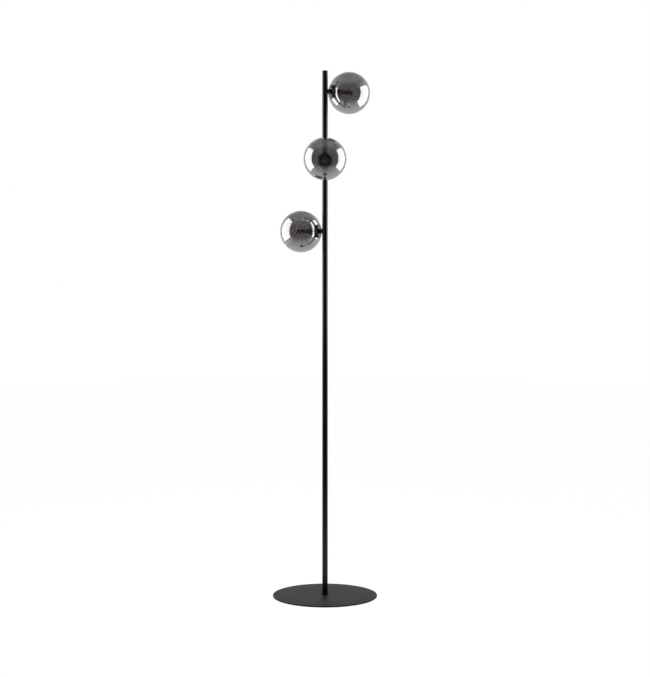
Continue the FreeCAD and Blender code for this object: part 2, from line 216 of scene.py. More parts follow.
def add_node(tree, kind, values=None, links=None, **settings):
    """Adds a node, sets its attributes and sockets, and links its inputs from other outputs."""
    node = tree.nodes.new(kind)
    for name, value in settings.items():
        setattr(node, name, value)
    for socket, value in (values or {}).items():
        node.inputs[socket].default_value = value
    for socket, output in (links or {}).items():
        tree.links.new(output, node.inputs[socket])
    return node


def shader(name, **values):
    """A new material with one Principled shader, and its tree, shader and object coordinates."""
    material = bpy.data.materials.new(name)
    material.use_nodes = True
    tree = material.node_tree
    tree.nodes.clear()
    surface = add_node(tree, "ShaderNodeBsdfPrincipled", values)
    add_node(tree, "ShaderNodeOutputMaterial", links={"Surface": surface.outputs["BSDF"]})
    place = add_node(tree, "ShaderNodeTexCoord").outputs["Object"]
    return material, tree, surface, place


MIX_COLOUR_A, MIX_COLOUR_B, MIX_COLOUR_OUT = 6, 7, 2  # a Mix node's sockets for colours


def tint(tree, surface, pattern, dark, light):
    """Lets the shader's colour go from one hex value to another with a pattern."""
    mix = add_node(
        tree, "ShaderNodeMix", {MIX_COLOUR_A: linear(dark), MIX_COLOUR_B: linear(light)},
        {"Factor": pattern}, data_type="RGBA",
    )
    tree.links.new(mix.outputs[MIX_COLOUR_OUT], surface.inputs["Base Color"])


def raise_surface(tree, surface, pattern, depth, strength):
    bump = add_node(
        tree, "ShaderNodeBump", {"Distance": depth, "Strength": strength}, {"Height": pattern})
    tree.links.new(bump.outputs["Normal"], surface.inputs["Normal"])


def clouds(tree, surface, place, size, detail, dark, light):
    """Colour that wanders between two hex values, in patches of about one size in metres."""
    noise = add_node(
        tree, "ShaderNodeTexNoise", {"Scale": 1 / size, "Detail": detail}, {"Vector": place})
    tint(tree, surface, noise.outputs["Fac"], dark, light)


def skin(tree, surface, place, size, detail, smooth, rough, depth=0.0, strength=0.0):
    """Grains of about one size in metres, which set the gloss, and the relief if they are deep."""
    noise = add_node(
        tree, "ShaderNodeTexNoise", {"Scale": 1 / size, "Detail": detail}, {"Vector": place})
    gloss = add_node(
        tree, "ShaderNodeMapRange", {"To Min": smooth, "To Max": rough},
        {"Value": noise.outputs["Fac"]},
    )
    tree.links.new(gloss.outputs["Result"], surface.inputs["Roughness"])
    if depth:
        raise_surface(tree, surface, noise.outputs["Fac"], depth, strength)


def powder_coat(name, coat, specular, smooth, rough, depth):
    """Polyester powder coat baked on steel, with the fine pebbled skin that melted grains leave."""
    material, tree, surface, place = shader(name, **{"Specular IOR Level": specular})
    clouds(tree, surface, place, 30 * MM, 2.0, scaled(coat, 0.92), scaled(coat, 1.08))
    # real grains of 0.3 mm, drawn coarser so that they show
    skin(tree, surface, place, 1.1 * MM, 3.0, smooth, rough, depth, 0.5)
    return material


def smoked_mirrored_glass():
    """Blown smoke-grey glass under a thin metal film: half a mirror, and darkest at its limb."""
    film, smoke = colours().glass, colours().smoke
    material, tree, surface, place = shader(
        "smoked_mirrored_glass",
        **{"Transmission Weight": 1.0, "IOR": 1.5, "Metallic": 0.32, "Roughness": 0.0},
    )
    # the film is a little thicker in some places than in others
    clouds(tree, surface, place, 45 * MM, 1.0, scaled(film, 0.98), scaled(film, 1.02))
    body = add_node(tree, "ShaderNodeVolumeAbsorption", {"Color": linear(smoke), "Density": 110.0})
    end = next(node for node in tree.nodes if node.bl_idname == "ShaderNodeOutputMaterial")
    tree.links.new(body.outputs["Volume"], end.inputs["Volume"])
    return material


def moulded(name, colour, roughness, grain=0.8 * MM, depth=0.03 * MM):
    """Moulded plastic or rubber: one colour with faint flow marks and the mould's fine texture."""
    material, tree, surface, place = shader(name)
    clouds(tree, surface, place, 12 * MM, 3.0, scaled(colour, 0.94), scaled(colour, 1.05))
    skin(tree, surface, place, grain, 2.0, roughness - 0.05, roughness + 0.05, depth, 0.4)
    return material


def turned_metal(name, colour, roughness):
    """A metal turned or rolled: fine marks of the tool, and patches dulled by handling."""
    material, tree, surface, place = shader(name, Metallic=1.0)
    clouds(tree, surface, place, 6 * MM, 3.0, scaled(colour, 0.86), scaled(colour, 1.04))
    skin(tree, surface, place, 0.25 * MM, 1.0, roughness - 0.06, roughness + 0.08, 0.01 * MM, 0.3)
    return material


def steatite():
    """Unglazed steatite: off-white, matt, with the fine specks of a fired body."""
    colour, speck = colours().ceramic, 0.5 * MM
    material, tree, surface, place = shader("steatite_ceramic")
    clouds(tree, surface, place, speck, 4.0, scaled(colour, 0.88), scaled(colour, 1.04))
    skin(tree, surface, place, speck, 4.0, 0.6, 0.75, 0.04 * MM, 0.5)
    return material


def braided_sleeve():
    """Glass-fibre sleeving: a diagonal braid of 0.5 mm threads, off-white and matt, with painted
    shade in the gaps between the threads.
    """
    thread = 0.5 * MM
    material, tree, surface, place = shader("glass_fibre_sleeve", Roughness=0.8)
    waves = [
        add_node(
            tree, "ShaderNodeTexWave", {"Scale": 1 / thread / 6, "Distortion": 1.5},
            {"Vector": place}, wave_type="BANDS", bands_direction=direction,
        ).outputs["Fac"]
        for direction in ("X", "Z")
    ]
    braid = add_node(
        tree, "ShaderNodeMath", operation="MULTIPLY", links={0: waves[0], 1: waves[1]}
    ).outputs[0]
    # the braid's gaps take the darker tone as painted shade
    tint(tree, surface, braid, colours().sleeve_gap_shade, colours().sleeve_light)
    raise_surface(tree, surface, braid, 0.1 * MM, 0.8)
    return material


def clear_cover():
    """Clear moulded polycarbonate, too thin to bend light: a glossy, faintly rippled film."""
    material, tree, surface, place = shader(
        "clear_polycarbonate",
        **{"Alpha": 0.18, "IOR": 1.58, "Base Color": linear(colours().cover)},
    )
    skin(tree, surface, place, 5 * MM, 1.0, 0.02, 0.06)
    return material


def phosphor_gel():
    """Phosphor in silicone over a lamp's chips: amber yellow, waxy, uneven in thickness."""
    colour = colours().phosphor
    material, tree, surface, place = shader("phosphor_gel", Roughness=0.35)
    clouds(tree, surface, place, 1.5 * MM, 2.0, scaled(colour, 0.75), scaled(colour, 1.1))
    return material


def all_materials():
    dyes = colours()
    return {
        # the base is matt and pebbled, the rest of the coated steel smoother and a little shiny;
        # the base's colour is the stem's black coat painted lighter, as painted light from above
        # and a painted grazing sheen on its top
        "coat": powder_coat("textured_powder_coat", dyes.base_coat, 0.33, 0.5, 0.66, 0.06 * MM),
        "satin": powder_coat("satin_powder_coat", dyes.coat, 0.5, 0.28, 0.38, 0.02 * MM),
        "glass": smoked_mirrored_glass(),
        "hub": moulded("moulded_phenolic", dyes.hub, 0.42),  # black with a dull gloss
        "anodised": turned_metal("black_anodised_aluminium", dyes.anodised, 0.34),  # dark, silky
        "ceramic": steatite(),
        "zinc": turned_metal("zinc_plated_steel", dyes.zinc, 0.33),  # cool grey, half dull
        "brass": turned_metal("turned_brass", dyes.brass, 0.3),  # warm yellow, bright
        "nickel": turned_metal("nickel_spring_strip", dyes.nickel, 0.25),  # warm white, bright
        "silicone": moulded("moulded_silicone", dyes.silicone, 0.62),  # soft and matt
        "rubber": moulded("moulded_rubber", dyes.rubber, 0.6),  # black and matt
        "foam": moulded("closed_cell_foam", dyes.foam, 0.85, 0.5 * MM, 0.12 * MM),  # dull, pitted
        "sheath": moulded("extruded_cable_sheath", dyes.sheath, 0.45),  # black, slightly shiny
        "sleeve": braided_sleeve(),
        "bulb_base": moulded("moulded_bulb_base", dyes.base_moulding, 0.38),  # cream, shiny
        "board": moulded("lamp_board", dyes.board, 0.5, 1.2 * MM),  # tan and half matt
        "phosphor": phosphor_gel(),
        "cover": clear_cover(),
    }


MATERIALS = {}


# ---------------------------------------------------------------------------- shapes
TINY = 1e-7  # points nearer than this are one, and a smaller radius is nought
EDGE = 0.3 * MM  # usual rounding of a turned or moulded edge
GENTLE_TURN = math.radians(20)  # corners below it belong to an arc and aren't rounded
SHARP_TURN = math.radians(35)  # edges above it stay sharp in the shading


def softened(outline, radius, steps=4):
    """A closed outline with its corners rounded, but for those of an arc or on the axis."""
    points = [Vector(p) for p in outline]
    out = []
    for i, corner in enumerate(points):
        before = points[i - 1] - corner
        after = points[(i + 1) % len(points)] - corner
        turn = before.angle(-after)
        if turn < GENTLE_TURN or corner.y < TINY:
            out.append(tuple(corner))
            continue
        reach = min(radius * math.tan(turn / 2), before.length * 0.45, after.length * 0.45)
        start = corner + before.normalized() * reach
        end = corner + after.normalized() * reach
        for k in range(steps + 1):
            t = k / steps
            out.append(tuple(start.lerp(corner, t).lerp(corner.lerp(end, t), t)))
    return out


def arc(centre, radius, start, end, steps):
    """Points of an arc in the plane of an outline, between two angles in degrees from the axis."""
    points = []
    for k in range(steps + 1):
        angle = math.radians(start + (end - start) * k / steps)
        points.append((centre[0] + radius * math.cos(angle), centre[1] + radius * math.sin(angle)))
    return points


def finish_mesh(bm):
    """Merges doubles, faces everything outwards, shades it smooth but for its sharp edges."""
    bmesh.ops.remove_doubles(bm, verts=bm.verts, dist=TINY)
    bmesh.ops.recalc_face_normals(bm, faces=bm.faces)
    mesh = bpy.data.meshes.new("shape")
    bm.to_mesh(mesh)
    bm.free()
    mesh.shade_smooth()
    mesh.set_sharp_from_angle(angle=SHARP_TURN)
    return mesh


def turned(outline, segments=96):
    """A mesh turned round +X from a closed outline of (place along the axis, radius) points."""
    bm = bmesh.new()
    rings = []
    for along, radius in outline:
        if radius < TINY:
            rings.append([bm.verts.new((along, 0, 0))])
            continue
        ring = []
        for k in range(segments):
            angle = 2 * math.pi * k / segments
            ring.append(bm.verts.new((along, radius * math.cos(angle), radius * math.sin(angle))))
        rings.append(ring)
    for here, there in zip(rings, rings[1:] + rings[:1]):
        if len(here) == 1 and len(there) == 1:
            continue
        for k in range(segments):
            corners = [here[k % len(here)], here[(k + 1) % len(here)],
                       there[(k + 1) % len(there)], there[k % len(there)]]
            bm.faces.new(list(dict.fromkeys(corners)))
    return finish_mesh(bm)


STAND_UP = Matrix.Rotation(math.radians(-90), 4, "Y")  # takes +X to +Z
LIE_DOWN = Matrix.Rotation(math.radians(90), 4, "Y")  # takes +Z to +X


def upright(outline, segments=96):
    """A mesh turned round +Z from (height, radius) points."""
    mesh = turned(outline, segments)
    mesh.transform(STAND_UP)
    return mesh


def joined(meshes):
    """Several meshes as one."""
    bm = bmesh.new()
    for mesh in meshes:
        bm.from_mesh(mesh)
    return finish_mesh(bm)


def piece(name, mesh, material, body, replaces=(), place=None):
    """A finished piece: its place in its mesh, its material, its body and what it stands for."""
    mesh.name = name
    if place is not None:
        mesh.transform(place)
    mesh.materials.clear()
    mesh.materials.append(MATERIALS[material])
    thing = bpy.data.objects.new(name, mesh)
    bpy.context.scene.collection.objects.link(thing)
    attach(thing, body)
    if replaces:
        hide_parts(*replaces)
    return thing


def plain_mesh(data, tree=None, inputs=None):
    """The plain mesh that a curve, or a Geometry Nodes tree with given inputs, comes to."""
    carrier = bpy.data.objects.new("carrier", data)
    bpy.context.scene.collection.objects.link(carrier)
    if tree:
        modifier = carrier.modifiers.new("grow", "NODES")
        modifier.node_group = tree
        for item in tree.interface.items_tree:
            if item.in_out == "INPUT" and item.name in inputs:
                modifier[item.identifier] = inputs[item.name]
    bpy.context.view_layer.update()
    evaluated = carrier.evaluated_get(bpy.context.evaluated_depsgraph_get())
    mesh = bpy.data.meshes.new_from_object(evaluated)
    carrier.modifiers.clear()
    bpy.data.objects.remove(carrier)
    return mesh


def grown(tree, inputs, material):
    """What a tree makes with given inputs and a material."""
    given = dict(inputs, Material=MATERIALS[material])
    return plain_mesh(bpy.data.meshes.new("carrier"), tree, given)


def wire(route, radius, resolution, closed=False):
    """Round wire, or a bead of weld, along a route of points."""
    curve = bpy.data.curves.new("wire", "CURVE")
    curve.dimensions = "3D"
    curve.bevel_depth = radius
    curve.bevel_resolution = resolution
    curve.use_fill_caps = not closed
    spline = curve.splines.new("POLY")
    spline.points.add(len(route) - 1)
    spline.use_cyclic_u = closed
    for point, place in zip(spline.points, route):
        point.co = (*place, 1)
    return plain_mesh(curve)


FLOAT, WHOLE, VECTOR = "NodeSocketFloat", "NodeSocketInt", "NodeSocketVector"


def new_tree(name, inputs):
    """An empty Geometry Nodes tree with inputs, given as name to kind, and one for its material."""
    tree = bpy.data.node_groups.new(name, "GeometryNodeTree")
    tree.interface.new_socket("Geometry", in_out="OUTPUT", socket_type="NodeSocketGeometry")
    for label, kind in {**inputs, "Material": "NodeSocketMaterial"}.items():
        tree.interface.new_socket(label, in_out="INPUT", socket_type=kind)
    return tree, add_node(tree, "NodeGroupInput").outputs


def end_tree(tree, geometry, given):
    """Every tree ends in real, separate faces with their material."""
    real = add_node(tree, "GeometryNodeRealizeInstances", links={"Geometry": geometry})
    painted = add_node(
        tree, "GeometryNodeSetMaterial",
        links={"Geometry": real.outputs["Geometry"], "Material": given["Material"]},
    )
    add_node(tree, "NodeGroupOutput", links={"Geometry": painted.outputs["Geometry"]})
    return tree


def thread_tree():
    """A thread round +Z: a ridge swept along a helix, narrow side out, or in if Facing is -1."""
    tree, given = new_tree("screw_thread", {
        "Radius": FLOAT, "Pitch": FLOAT, "Turns": FLOAT, "Ridge": FLOAT, "Width": FLOAT,
        "Crest": FLOAT, "Facing": FLOAT,
    })
    height = add_node(
        tree, "ShaderNodeMath", operation="MULTIPLY", links={0: given["Pitch"], 1: given["Turns"]}
    ).outputs[0]
    helix = add_node(tree, "GeometryNodeCurveSpiral", {"Resolution": 48}, {
        "Rotations": given["Turns"], "Start Radius": given["Radius"],
        "End Radius": given["Radius"], "Height": height,
    }).outputs["Curve"]
    level = add_node(
        tree, "GeometryNodeSetCurveNormal", mode="Z_UP", links={"Curve": helix}
    ).outputs["Curve"]
    ridge = add_node(
        tree, "GeometryNodeCurvePrimitiveQuadrilateral", {"Offset": 0.0},
        {"Bottom Width": given["Width"], "Height": given["Ridge"], "Top Width": given["Crest"]},
        mode="TRAPEZOID",
    ).outputs["Curve"]
    quarter = add_node(
        tree, "ShaderNodeMath", {1: -math.pi / 2}, {0: given["Facing"]}, operation="MULTIPLY"
    ).outputs[0]
    angles = add_node(tree, "ShaderNodeCombineXYZ", links={"Z": quarter}).outputs["Vector"]
    facing = add_node(
        tree, "GeometryNodeTransform", links={"Geometry": ridge, "Rotation": angles}
    ).outputs["Geometry"]
    swept = add_node(
        tree, "GeometryNodeCurveToMesh", {"Fill Caps": True},
        {"Curve": level, "Profile Curve": facing},
    )
    return end_tree(tree, swept.outputs["Mesh"], given)


def blocks_tree():
    """Rows of blocks set in rings round +Z, such as a bulb's chips or the ribs of its base."""
    tree, given = new_tree("rings_of_blocks", {
        "Radius": FLOAT, "Count": WHOLE, "Size": VECTOR, "Rows": WHOLE, "Row Pitch": FLOAT,
    })
    block = add_node(tree, "GeometryNodeMeshCube", links={"Size": given["Size"]}).outputs["Mesh"]
    ring = add_node(
        tree, "GeometryNodeMeshCircle",
        links={"Vertices": given["Count"], "Radius": given["Radius"]},
    ).outputs["Mesh"]
    outward = add_node(tree, "GeometryNodeInputPosition").outputs["Position"]
    facing = add_node(
        tree, "FunctionNodeAlignRotationToVector", axis="X", pivot_axis="Z",
        links={"Vector": outward},
    ).outputs["Rotation"]
    around = add_node(tree, "GeometryNodeInstanceOnPoints", links={
        "Points": ring, "Instance": block, "Rotation": facing,
    }).outputs["Instances"]
    step = add_node(
        tree, "ShaderNodeCombineXYZ", links={"Z": given["Row Pitch"]}
    ).outputs["Vector"]
    column = add_node(
        tree, "GeometryNodeMeshLine", links={"Count": given["Rows"], "Offset": step}
    ).outputs["Mesh"]
    rows = add_node(
        tree, "GeometryNodeInstanceOnPoints", links={"Points": column, "Instance": around}
    ).outputs["Instances"]
    return end_tree(tree, rows, given)


TREES = {}


# ---------------------------------------------------------------------------- the studio
WHITE = (1.0, 1.0, 1.0, 1.0)
SMOOTH = "SMOOTHSTEP"
# How bright metal sees the room, from the dim front (-Y) to the white backdrop
ROOM = {"From Min": -0.45, "From Max": 0.35, "To Min": 0.025, "To Max": 0.8}
OVERHEAD = {"From Min": 0.3, "From Max": 0.95}  # where the walls give way to the ceiling
CEILING = 0.16  # how bright metal sees the ceiling
FLOOR_RADIUS = 9.0
# How bright metal sees the floor, by its place along Y in metres
MIRRORED_FLOOR = {"From Min": -1.7, "From Max": 0.6, "To Min": 0.04, "To Max": 0.85}
GLOW = 1.12  # of the floor where the camera sees it, over 1 so that its share still gives white
GLOW_SHARE = 0.85  # the rest is paint, which keeps the lamp's shadow


def white_for(tree):
    """One for what the camera sees, straight or through glass, and nought for all other rays."""
    ray = add_node(tree, "ShaderNodeLightPath").outputs
    turns = add_node(
        tree, "ShaderNodeMath", operation="ADD",
        links={0: ray["Glossy Depth"], 1: ray["Diffuse Depth"]},
    ).outputs[0]
    straight = add_node(
        tree, "ShaderNodeMath", {1: 0.5}, {0: turns}, operation="LESS_THAN"
    ).outputs[0]
    through = add_node(
        tree, "ShaderNodeMath", operation="MULTIPLY",
        links={0: ray["Is Transmission Ray"], 1: straight},
    ).outputs[0]
    return add_node(
        tree, "ShaderNodeMath", operation="MAXIMUM", links={0: ray["Is Camera Ray"], 1: through}
    ).outputs[0]


def studio_world():
    """The camera and glass see white, metal sees white behind and a dim room in front."""
    world = bpy.data.worlds.new("studio")
    bpy.context.scene.world = world
    world.use_nodes = True
    tree = world.node_tree
    tree.nodes.clear()
    direction = add_node(tree, "ShaderNodeTexCoord").outputs["Generated"]
    parts = add_node(tree, "ShaderNodeSeparateXYZ", links={"Vector": direction}).outputs
    backdrop = add_node(
        tree, "ShaderNodeMapRange", ROOM, {"Value": parts["Y"]}, interpolation_type=SMOOTH
    ).outputs["Result"]
    overhead = add_node(
        tree, "ShaderNodeMapRange", OVERHEAD, {"Value": parts["Z"]}, interpolation_type=SMOOTH
    ).outputs["Result"]
    room = add_node(tree, "ShaderNodeMix", {"B": CEILING}, {"Factor": overhead, "A": backdrop})
    strength = add_node(
        tree, "ShaderNodeMath", operation="MAXIMUM",
        links={0: white_for(tree), 1: room.outputs["Result"]},
    ).outputs[0]
    background = add_node(
        tree, "ShaderNodeBackground", {"Color": WHITE}, {"Strength": strength})
    add_node(tree, "ShaderNodeOutputWorld", links={"Surface": background.outputs["Background"]})


def studio_floor():
    """A pale floor that keeps the lamp's shadow and is as white as the backdrop for the camera."""
    bm = bmesh.new()
    bmesh.ops.create_circle(bm, cap_ends=True, segments=96, radius=FLOOR_RADIUS)
    mesh = bpy.data.meshes.new("floor")
    bm.to_mesh(mesh)
    bm.free()
    floor = bpy.data.objects.new("floor", mesh)
    bpy.context.scene.collection.objects.link(floor)
    material = bpy.data.materials.new("studio_floor")
    material.use_nodes = True
    tree = material.node_tree
    tree.nodes.clear()
    ray = add_node(tree, "ShaderNodeLightPath").outputs
    place = add_node(tree, "ShaderNodeTexCoord").outputs["Object"]
    parts = add_node(tree, "ShaderNodeSeparateXYZ", links={"Vector": place}).outputs
    front = add_node(
        tree, "ShaderNodeMapRange", MIRRORED_FLOOR, {"Value": parts["Y"]},
        interpolation_type=SMOOTH,
    ).outputs["Result"]
    paint = add_node(tree, "ShaderNodeBsdfDiffuse", {"Color": linear(colours().floor)})
    glow = add_node(tree, "ShaderNodeEmission", {"Color": WHITE, "Strength": GLOW})
    dim = add_node(tree, "ShaderNodeEmission", {"Color": WHITE}, {"Strength": front})
    share = add_node(
        tree, "ShaderNodeMath", {1: GLOW_SHARE}, {0: white_for(tree)}, operation="MULTIPLY"
    ).outputs[0]
    shown = add_node(
        tree, "ShaderNodeMixShader",
        links={"Fac": share, 1: paint.outputs["BSDF"], 2: glow.outputs["Emission"]},
    )
    mirrored = add_node(
        tree, "ShaderNodeMixShader",
        links={"Fac": ray["Is Glossy Ray"], 1: shown.outputs["Shader"], 2: dim.outputs["Emission"]},
    )
    add_node(tree, "ShaderNodeOutputMaterial", links={"Surface": mirrored.outputs["Shader"]})
    mesh.materials.append(material)


def softbox(name, place, facing, size, radiance):
    """A soft light panel hidden from the camera. Its power follows from how bright it looks."""
    data = bpy.data.lights.new(name, "AREA")
    data.shape = "RECTANGLE"
    data.size, data.size_y = size
    data.energy = math.pi * size[0] * size[1] * radiance
    light = bpy.data.objects.new(name, data)
    bpy.context.scene.collection.objects.link(light)
    light.location = place
    light.rotation_euler = Vector(facing).to_track_quat("-Z", "Y").to_euler()
    light.visible_camera = False


class LAMP_OT_studio(bpy.types.Operator):
    """Makes the floor, the lights and the camera"""
    bl_idname = "lamp.studio"
    bl_label = "Studio"

    camera_distance = 4.082
    camera_height = 0.903
    camera_tilt = 2.24  # degrees below the horizon
    focal_pixels = 1427.0
    long_side_pixels = 677.0
    sensor_mm = 36.0
    panel_offset = 0.7  # from the stem to each side panel
    panel_front, panel_back = -0.27, 0.5
    panel_low, panel_high = 0.7, 1.77
    panel_radiance = 2.7
    ceiling_place = (0, 0.3, 3.0)
    ceiling_size = (2.4, 2.4)
    ceiling_radiance = 0.15

    def execute(self, context):
        context.scene.view_settings.view_transform = "Standard"
        studio_world()
        studio_floor()
        depth = self.panel_back - self.panel_front
        height = self.panel_high - self.panel_low
        middle_y = (self.panel_back + self.panel_front) / 2
        middle_z = (self.panel_high + self.panel_low) / 2
        for side, name in ((-1, "panel_left"), (1, "panel_right")):
            place = (side * self.panel_offset, middle_y, middle_z)
            softbox(name, place, (-side, 0, 0), (depth, height), self.panel_radiance)
        softbox(
            "panel_above", self.ceiling_place, (0, 0, -1), self.ceiling_size, self.ceiling_radiance)
        data = bpy.data.cameras.new("camera")
        data.sensor_width = self.sensor_mm
        data.lens = self.focal_pixels * data.sensor_width / self.long_side_pixels
        camera = bpy.data.objects.new("camera", data)
        context.scene.collection.objects.link(camera)
        camera.location = (0, -self.camera_distance, self.camera_height)
        camera.rotation_euler = (math.radians(90 - self.camera_tilt), 0, 0)
        context.scene.camera = camera
        return {"FINISHED"}


# ---------------------------------------------------------------------------- base and stem
class LAMP_OT_base(bpy.types.Operator):
    """Makes the round base and its foam pads"""
    bl_idname = "lamp.base"
    bl_label = "Base"

    def execute(self, context):
        size = sizes()
        low, high = (corner.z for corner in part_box("base_plate"))
        sink, hole = size.base_sink, size.base_hole
        outline = softened([
            (low, sink), (low, size.base_radius), (high, size.base_radius), (high, hole),
            (low + sink - hole, hole),
        ], size.base_edge, 5)
        piece("steel_base", upright(outline, 256), "coat", "stand", ["base_plate"])
        pad = softened([(0, 0), (0, size.pad_radius), (low, size.pad_radius), (low, 0)], EDGE)
        pads = []
        for k in range(size.pad_count):
            disc = upright(pad, 48)
            angle = 2 * math.pi * k / size.pad_count
            disc.transform(Matrix.Translation(
                (size.pad_circle * math.cos(angle), size.pad_circle * math.sin(angle), 0)
            ))
            pads.append(disc)
        piece("foam_pads", joined(pads), "foam", "stand", ["base_pads"])
        return {"FINISHED"}


class LAMP_OT_stem(bpy.types.Operator):
    """Makes the stem's three tubes and the cap that closes it"""
    bl_idname = "lamp.stem"
    bl_label = "Stem"

    tube_edge = 0.12 * MM  # small, so that the joints between the tubes stay tight lines
    cap_edge = 0.35 * MM
    cap_play = 0.02 * MM  # round the cap's spigot in the tube

    def execute(self, context):
        outer = sizes().stem_radius
        inner = outer - sizes().stem_wall
        for part in ("lower", "middle", "upper"):
            node = f"stem_{part}"
            low, high = (corner.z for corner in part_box(node))
            outline = softened(
                [(low, inner), (low, outer), (high, outer), (high, inner)], self.tube_edge)
            piece(f"tube_{part}", upright(outline), "satin", "stand", [node])
        low, high = (corner.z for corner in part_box("stem_cap"))
        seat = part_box("stem_upper")[1].z
        top = min(high, CAD_BOUNDS[1][2])
        spigot = inner - self.cap_play
        outline = softened(
            [(low, 0), (low, spigot), (seat, spigot), (seat, outer), (top, outer), (top, 0)],
            self.cap_edge)
        piece("top_cap", upright(outline), "satin", "stand", ["stem_cap"])
        return {"FINISHED"}


# ---------------------------------------------------------------------------- arms and dishes
def dish_curve(inset, rim, steps=12):
    """Points of a dish's curved side, or of what seats in it, from its flat middle to a radius."""
    size = sizes()
    across = size.dish_radius - size.dish_flat
    bend = (across ** 2 + size.dish_rise ** 2) / (2 * size.dish_rise)
    reach = math.degrees(math.asin((rim - size.dish_flat) / (bend - inset)))
    centre = (size.arm_length + bend, size.dish_flat)
    return arc(centre, bend - inset, 180, 180 - reach, steps)


def weld_bead():
    """The small fillet of weld where an arm meets the round stem, under the coat."""
    size = sizes()
    count, bead = 64, 0.55 * MM
    route = []
    for k in range(count):
        angle = 2 * math.pi * k / count
        across = size.arm_radius * math.cos(angle)
        out = math.sqrt(size.stem_radius ** 2 - across ** 2)
        route.append((out, across, size.arm_radius * math.sin(angle)))
    return wire(route, bead, 3, closed=True)


class LAMP_OT_arms(bpy.types.Operator):
    """Makes each arm with its weld, and its saucer dish"""
    bl_idname = "lamp.arms"
    bl_label = "Arms and dishes"

    rim_edge = 0.4 * MM

    def execute(self, context):
        size = sizes()
        bore, end = size.arm_bore, size.arm_length
        root = math.sqrt(size.stem_radius ** 2 - size.arm_radius ** 2)
        stub = softened(
            [(root, bore), (root, size.arm_radius), (end, size.arm_radius), (end, bore)], EDGE)
        back_side = dish_curve(0, size.dish_radius)
        front_side = dish_curve(size.dish_wall, size.dish_radius - size.dish_wall)
        saucer = softened(
            [(end + size.dish_wall, bore), (end, bore)] + back_side + front_side[::-1],
            self.rim_edge)
        for arm in ARM_NAMES:
            place = arm_place(arm)
            mesh = joined([turned(stub, 64), weld_bead()])
            piece(f"stub_{arm}", mesh, "satin", "stand", [f"arm_{arm}"], place)
            piece(f"saucer_{arm}", turned(saucer, 128), "satin", "stand", [f"dish_{arm}"],
                  place)
        return {"FINISHED"}


# ---------------------------------------------------------------------------- hubs and globes
def thread(crest, low, high, facing):
    """A thread along +X between two places: crest at a radius, facing out (1) or in (-1)."""
    size = sizes()
    sunk = 0.1 * MM  # how far the ridge goes into the wall that it stands on
    width = size.thread_pitch * 0.55
    ridge = size.thread_depth + sunk
    mesh = grown(TREES["thread"], {
        "Radius": crest - facing * ridge / 2, "Pitch": size.thread_pitch,
        "Turns": (high - low - width) / size.thread_pitch, "Ridge": ridge, "Width": width,
        "Crest": width * 0.45, "Facing": float(facing),
    }, "hub")
    mesh.transform(Matrix.Translation((low + width / 2, 0, 0)) @ LIE_DOWN)
    return mesh


class LAMP_OT_hubs(bpy.types.Operator):
    """Makes each moulded hub, the ring bonded in each globe's neck and the seal behind the ring"""
    bl_idname = "lamp.hubs"
    bl_label = "Hubs, rings and seals"

    fit = 0.02 * MM  # between a hub and the dish that it seats in
    holder_play = 0.1 * MM  # round a lampholder in its hub
    thread_play = 0.08 * MM  # between the crests of a ring's thread and a hub's
    seal_play = 0.4 * MM  # between a seal and its hub
    lead_in = 1.2 * MM  # plain stretch before a thread starts

    def execute(self, context):
        size = sizes()
        back, front, flange = span("hub")
        seat, _, holder = span("lampholder")
        seal_back, ring_back, seal_radius = span("globe_seal")
        _, ring_front, ring_radius = span("globe_ring")
        bore, floor, pocket = size.arm_bore, size.hub_floor, size.nut_pocket
        root = size.hub_radius - size.thread_depth
        holder += self.holder_play
        hub = softened(
            [(back, bore)] + dish_curve(size.dish_wall + self.fit, flange) + [
                (seal_back, flange), (seal_back, root), (front, root), (front, holder),
                (seat, holder), (seat, pocket), (floor, pocket), (floor, bore),
            ], EDGE)
        crest = size.hub_radius + self.thread_play
        groove = crest + size.thread_depth
        ring = softened([
            (ring_back, groove), (ring_back, ring_radius), (ring_front, ring_radius),
            (ring_front, groove),
        ], EDGE)
        inner = size.hub_radius + self.seal_play
        seal = softened([
            (seal_back, inner), (seal_back, seal_radius), (ring_back, seal_radius),
            (ring_back, inner),
        ], EDGE)
        half = self.lead_in / 2
        for arm in ARM_NAMES:
            place = arm_place(arm)
            outside = thread(size.hub_radius, seal_back + self.lead_in, front - half, 1)
            piece(f"moulded_hub_{arm}", joined([turned(hub), outside]), "hub", "stand",
                  [f"hub_{arm}"], place)
            inside = thread(crest, ring_back + half, ring_front - half, -1)
            piece(f"neck_ring_{arm}", joined([turned(ring), inside]), "anodised", f"globe_{arm}",
                  [f"globe_ring_{arm}"], place)
            piece(f"neck_seal_{arm}", turned(seal), "silicone", f"seal_{arm}",
                  [f"globe_seal_{arm}"], place)
        return {"FINISHED"}


class LAMP_OT_globes(bpy.types.Operator):
    """Makes the smoked glass globes"""
    bl_idname = "lamp.globes"
    bl_label = "Globes"

    lip = 0.7 * MM  # rounding of the neck's ends, melted smooth

    def execute(self, context):
        size = sizes()
        middle, outer = size.globe_centre, size.globe_radius
        inner = outer - size.globe_wall
        neck = size.neck_bore + size.neck_wall
        mouth_angle = 180 - math.degrees(math.asin(size.neck_bore / outer))
        neck_angle = 180 - math.degrees(math.asin(neck / inner))
        outline = arc((middle, 0), outer, mouth_angle, 0, 96)
        outline[-1] = (middle + outer, 0)
        outline += [(middle + inner, 0)] + arc((middle, 0), inner, 0, neck_angle, 96)[1:]
        outline += [(size.neck_end, neck), (size.neck_end, size.neck_bore)]
        outline = softened(outline, self.lip)
        for arm in ARM_NAMES:
            piece(f"glass_{arm}", turned(outline, 160), "glass", f"globe_{arm}",
                  [f"globe_{arm}"], arm_place(arm))
        return {"FINISHED"}


